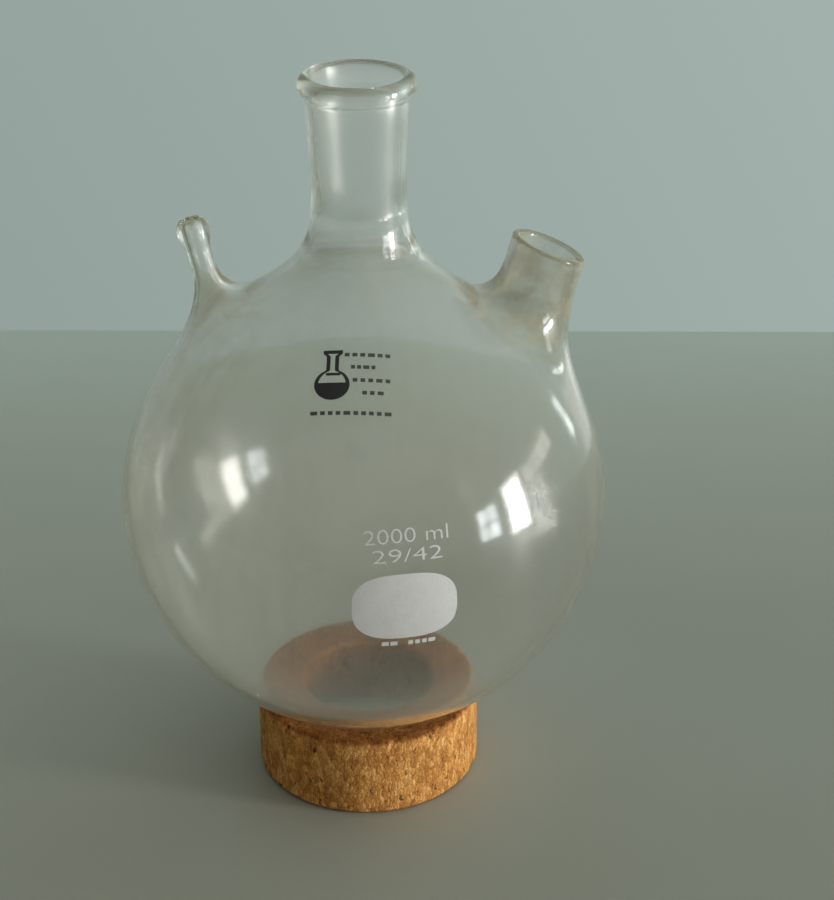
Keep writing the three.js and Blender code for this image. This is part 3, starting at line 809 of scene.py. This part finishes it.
def oval(width, height):
    """A squarish oval with a slightly uneven edge, as flat rings of faces."""
    count, power, rings = 128, 2.8, 14
    a = 2 * math.pi * np.arange(count) / count
    grow = (np.abs(np.cos(a)) ** power + np.abs(np.sin(a)) ** power) ** (-1 / power)
    edge = np.c_[np.cos(a) * grow * width / 2, np.sin(a) * grow * height / 2]
    wobble = np.array([noise.noise(Vector((x * 0.35, y * 0.35, 3))) for x, y in edge])
    edge *= (1 + 0.006 * wobble)[:, None]
    points = [(0.0, 0.0)]
    faces = []
    for k in range(1, rings + 1):
        points += (edge * k / rings).tolist()
    for i in range(count):
        j = (i + 1) % count
        faces.append([0, 1 + i, 1 + j])
        for k in range(1, rings):
            a0, b0 = 1 + (k - 1) * count, 1 + k * count
            faces.append([a0 + i, b0 + i, b0 + j, a0 + j])
    return np.array(points), faces


def place_print(name, flat, faces, place, material, slot):
    """A piece of print that stands for the CAD node of this name."""
    points, solid = print_solid(flat, faces, place)
    made = make_object("print_" + name, points, solid, material, smooth=False)
    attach(made, "flask")
    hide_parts(name)
    return made


# Where the middle of each piece of print lies, as (azimuth, elevation) in degrees.
SPOT = (-80.3, 1.2)
CAPACITY = (-79.4, 17.5)
SIZE_LINE = (-79.4, 13.2)
NUMBER = (-79.4, -8.0)
LABEL = (-92.4, 52.7)
# The number's plain blocks, as (middle, width), and their height.
NUMBER_BLOCKS = [(-7.6, 2.2), (-4.9, 2.2), (0.4, 1.5), (2.6, 1.5), (4.8, 1.5), (7.2, 2.2)]
NUMBER_HEIGHT = 1.5
number_blocks = merge([block(x, 0, width, NUMBER_HEIGHT) for x, width in NUMBER_BLOCKS])
place_print("writing_spot", *oval(33.4, 22.6), SPOT, WHITE, "white_enamel")
place_print("capacity_mark", *text_flat("2000 ml", 4.6, 26.6), CAPACITY, WHITE, "white_enamel")
place_print("glass_type_mark", *text_flat("29/42", 4.2, 22.0), SIZE_LINE, WHITE, "white_enamel")
place_print("number_mark", *number_blocks, NUMBER, WHITE, "white_enamel")


def strip(rows):
    """A flat shape from rows (y, left, right), cut across in cells narrow enough to follow the glass."""
    cells = 8
    points = [(left + (right - left) * k / cells, y) for y, left, right in rows for k in range(cells + 1)]
    faces = []
    for r in range(len(rows) - 1):
        for k in range(cells):
            a, b = r * (cells + 1) + k, (r + 1) * (cells + 1) + k
            faces.append([a, a + 1, b + 1, b])
    return np.array(points), faces


def flask_symbol():
    """A small picture of a flask, as (points, faces): its outline, with the lower half filled."""
    middle, half_height, half_width = -3.4, 5.3, 5.7
    neck_width, rim_width, line = 2.0, 3.1, 1.25
    filled_to, lines_from = -2.4, -2.8
    bowl = [(middle + half_height * math.sin(t), half_width * math.cos(t))
            for t in np.linspace(-89, 67, 40) * RAD]
    neck = [(y, neck_width) for y in np.linspace(2.0, 6.8, 8)] + [(7.8, rim_width), (9.0, rim_width)]
    profile = bowl + neck
    liquid = strip([(y, -w, w) for y, w in profile if y < filled_to])
    left = strip([(y, -w, -w + line) for y, w in profile if y >= lines_from])
    right = strip([(y, w - line, w) for y, w in profile if y >= lines_from])
    rim, shoulder = block(0, 8.4, 6.2, 1.2), block(0.3, 0.3, 4.6, 0.9)
    return merge([liquid, left, right, rim, shoulder])


symbol_points, symbol_faces = flask_symbol()
place_print("label_symbol", symbol_points + (-6.4, 1.6), symbol_faces, LABEL, BLACK, "black_enamel")

# The label's lines: the middle of each, how wide it is, and the widths of its plain blocks.
LINE_HEIGHT = 1.25
LINES = [
    (4.6, 9.0, 14.6, [1.6, 1.6, 1.6, 2.2, 1.6, 1.6]),
    (3.4, 4.5, 7.8, [1.3, 1.3, 2.0, 1.3]),
    (6.2, -0.2, 12.0, [1.5, 1.5, 1.5, 2.0, 1.5]),
    (6.8, -4.6, 6.8, [1.5, 1.5, 1.9]),
    (0.0, -11.6, 25.9, [2.2, 1.5, 1.5, 1.5, 2.2, 1.5, 1.5, 1.5, 1.5, 2.2]),
]
for number, (right, up, width, cells) in enumerate(LINES, 1):
    gap = (width - sum(cells)) / (len(cells) - 1)
    x, parts = -width / 2, []
    for cell in cells:
        parts.append(block(right + x + cell / 2, up, cell, LINE_HEIGHT))
        x += cell + gap
    place_print(f"label_line_{number}", *merge(parts), LABEL, WORN_BLACK, "black_enamel")


# ---- floor, light and camera ----
def floor_material():
    """A pale bench, with painted light that makes it lighter towards the back."""
    material, n = new_material("pale_bench")
    place = n.add("ShaderNodeTexCoord").outputs["Object"]
    soft = n.noise(place, 6.0, 3.0).outputs["Fac"]
    along = n.add("ShaderNodeSeparateXYZ", {"Vector": place}).outputs["Y"]
    # Painted light: the ramp darkens the near bench and lightens the far bench towards the wall's tone.
    back = n.add("ShaderNodeMapRange", {"Value": along, "From Min": BENCH_FROM, "From Max": BENCH_TO})
    pale = n.ramp(back.outputs[0], BENCH_TONES_AND_PAINTED_LIGHT)
    shade = n.mix(1.0, n.ramp(soft, [(0.3, grey(0.95)), (0.7, grey(1.0))]), pale, "MULTIPLY")
    n.finish(n.add("ShaderNodeBsdfPrincipled", {
        "Base Color": shade, "Roughness": 0.5, "Specular IOR Level": 0.3,
    }))
    return material


# The bench top: half its width, its near edge, and its far edge, which runs a little askew, at the left
# end and at the right end. It lies just under the object, so that the two never share a surface.
FLOOR_HALF = 1090
FLOOR_NEAR = -1200
FLOOR_FAR_LEFT, FLOOR_FAR_RIGHT = 412, 363
FLOOR_DROP = 0.3
corners = [
    (-FLOOR_HALF, FLOOR_NEAR, 0), (FLOOR_HALF, FLOOR_NEAR, 0), (FLOOR_HALF, FLOOR_FAR_RIGHT, 0),
    (-FLOOR_HALF, FLOOR_FAR_LEFT, 0),
]
floor = make_object("floor", corners, [[0, 1, 2, 3]], floor_material(), smooth=False)
floor.location.z = -FLOOR_DROP * MM

# What stands round the bench: a pale wall ahead, a dim warm room behind, a bright sheet by the wall and a
# lit blind behind and to the right, with the directions of the last two.
WALL_COLOUR = (0.335, 0.405, 0.38)
ROOM_COLOUR = (0.165, 0.145, 0.112)
SHEET_COLOUR, SHEET_AT = (0.62, 0.66, 0.62), (0.554, 0.821, -0.139)
BLIND_COLOUR, BLIND_AT = (0.36, 0.355, 0.32), (0.48, -0.84, 0.26)
# The strength of the surroundings' light, and how much it grows towards the right and upward.
LIGHT_STRENGTH, LIGHT_TOWARD = 1.06, (0.42, 0.0, 0.25)


def studio_world():
    """The surroundings' light, which goes over smoothly from each to the next."""
    world = bpy.data.worlds.new("studio")
    n = Nodes(world, "ShaderNodeOutputWorld")
    way = n.add("ShaderNodeTexCoord").outputs["Generated"]

    def toward(direction):
        dot = n.add("ShaderNodeVectorMath", {0: way, 1: direction}, operation="DOT_PRODUCT")
        return dot.outputs["Value"]

    colour = n.mix(n.fade(toward((0.55, 1.0, 0.1)), -0.35, 0.5), ROOM_COLOUR, WALL_COLOUR)
    colour = n.mix(n.fade(toward(SHEET_AT), 0.972, 0.992), colour, SHEET_COLOUR)
    colour = n.mix(n.fade(toward(BLIND_AT), 0.35, 1.0), colour, BLIND_COLOUR)
    strength = n.maths("ADD", toward(LIGHT_TOWARD), LIGHT_STRENGTH)
    n.finish(n.add("ShaderNodeBackground", {"Color": colour, "Strength": strength}))
    return world


bpy.context.scene.world = studio_world()

# A row of windows in a wall to the right, at this x. For each: y from and to, z from and to, columns and
# rows of panes, how bright a pane is, and its colour. The bars between panes are BAR wide.
WINDOW_X = 2.15
BAR = 0.028
WINDOWS = [
    ((-1.56, -1.06), (-0.02, 0.58), (2, 2), 9.0, (0.90, 0.96, 1.0)),
    ((-0.76, -0.39), (-0.08, 0.66), (2, 4), 43.0, (1.0, 0.975, 0.95)),
    ((-0.22, 0.72), (0.44, 0.66), (4, 1), 2.4, (1.0, 0.93, 0.89)),
    ((1.58, 1.80), (-0.04, 0.46), (1, 2), 4.0, (0.95, 1.0, 0.98)),
]
# Each window also has a faint glow behind it, this much larger on each side, this far back, and with this
# share of its brightness.
HALO = 0.07
HALO_BACK = 0.004
HALO_SHARE = 0.12


def pane(name, y, z, radiance, colour, x=WINDOW_X):
    """An area lamp that faces the object from the right and looks as bright as the radiance says."""
    data = bpy.data.lights.new(name, "AREA")
    data.shape = "RECTANGLE"
    data.size, data.size_y = z[1] - z[0], y[1] - y[0]
    data.energy = math.pi * radiance * data.size * data.size_y
    data.color = colour
    lamp = bpy.data.objects.new(name, data)
    bpy.context.scene.collection.objects.link(lamp)
    middle = Matrix.Translation((x, sum(y) / 2, sum(z) / 2))
    lamp.matrix_world = middle @ Matrix.Rotation(math.pi / 2, 4, "Y")


for number, (y, z, (columns, rows), radiance, colour) in enumerate(WINDOWS):
    wide, high = (y[1] - y[0] + BAR) / columns, (z[1] - z[0] + BAR) / rows
    for i in range(columns):
        for j in range(rows):
            # The panes differ a little in brightness.
            dim = 0.8 + 0.1 * ((3 * i + 7 * j + number) % 5)
            y0, z0 = y[0] + i * wide, z[0] + j * high
            across, upright = (y0, y0 + wide - BAR), (z0, z0 + high - BAR)
            pane(f"pane_{number}_{i}_{j}", across, upright, radiance * dim, colour)
    across, upright = (y[0] - HALO, y[1] + HALO), (z[0] - HALO, z[1] + HALO)
    pane(f"halo_{number}", across, upright, radiance * HALO_SHARE, colour, WINDOW_X + HALO_BACK)

# The camera: its focal length against the picture's long side, the sensor in mm, the point that it looks
# at, and where it stands from there. Its angles are in degrees.
FOCAL, PICTURE_LONG, SENSOR = 1968.1, 900, 36
AIM = Vector((18.29, -3.68, 125.99)) * MM
DISTANCE = 671.9 * MM
ELEVATION, AZIMUTH, ROLL = 27.03, -0.39, -0.25
camera_data = bpy.data.cameras.new("camera")
camera_data.sensor_width = SENSOR
camera_data.lens = FOCAL * SENSOR / PICTURE_LONG
camera = bpy.data.objects.new("camera", camera_data)
bpy.context.scene.collection.objects.link(camera)
e, a = ELEVATION * RAD, AZIMUTH * RAD
back = Vector((math.sin(a) * math.cos(e), -math.cos(a) * math.cos(e), math.sin(e)))
right = Vector((math.cos(a), math.sin(a), 0))
up = back.cross(right)
turned = right * math.cos(ROLL * RAD) + up * math.sin(ROLL * RAD)
over = up * math.cos(ROLL * RAD) - right * math.sin(ROLL * RAD)
facing = Matrix((turned, over, back)).transposed().to_4x4()
camera.matrix_world = Matrix.Translation(AIM + back * DISTANCE) @ facing
bpy.context.scene.camera = camera

# Enough bounces for the light to cross both walls of the glass several times.
BOUNCES = 48
bpy.context.scene.view_settings.view_transform = "Standard"
bpy.context.scene.cycles.max_bounces = BOUNCES
bpy.context.scene.cycles.transmission_bounces = BOUNCES
bpy.context.scene.cycles.glossy_bounces = BOUNCES
